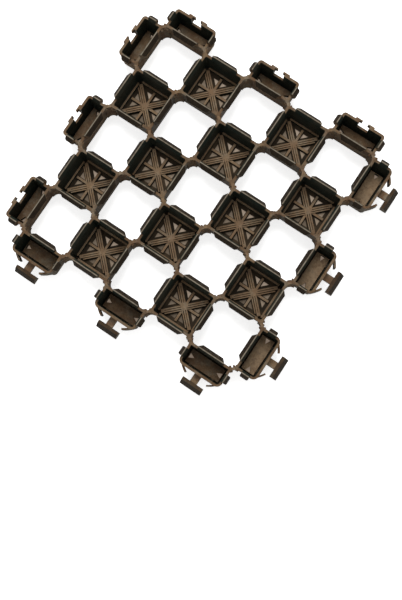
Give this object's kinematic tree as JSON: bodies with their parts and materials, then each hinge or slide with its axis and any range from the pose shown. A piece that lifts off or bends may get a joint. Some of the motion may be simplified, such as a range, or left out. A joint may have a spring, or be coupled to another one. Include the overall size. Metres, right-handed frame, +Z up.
{
  "type": "plastic ground grid",
  "caption": "Square interlocking ground grid tile of black recycled plastic: open cups and open cells in a chequered pattern, T lugs on two sides and slots on the other two.",
  "frame": {"origin": "middle of the tile's outline box, in the plane of the tread face that it lies on", "axes": "+Z up, out of the open cups, along the shortest extent; +X and -Y towards the two sides with T lugs"},
  "size_m": [0.5252, 0.5252, 0.05],
  "materials": {
    "ground_grid": "matte, dusty"
  },
  "bodies": {
    "root": {"ground_grid": "ground_grid"}
  },
  "joints": []
}
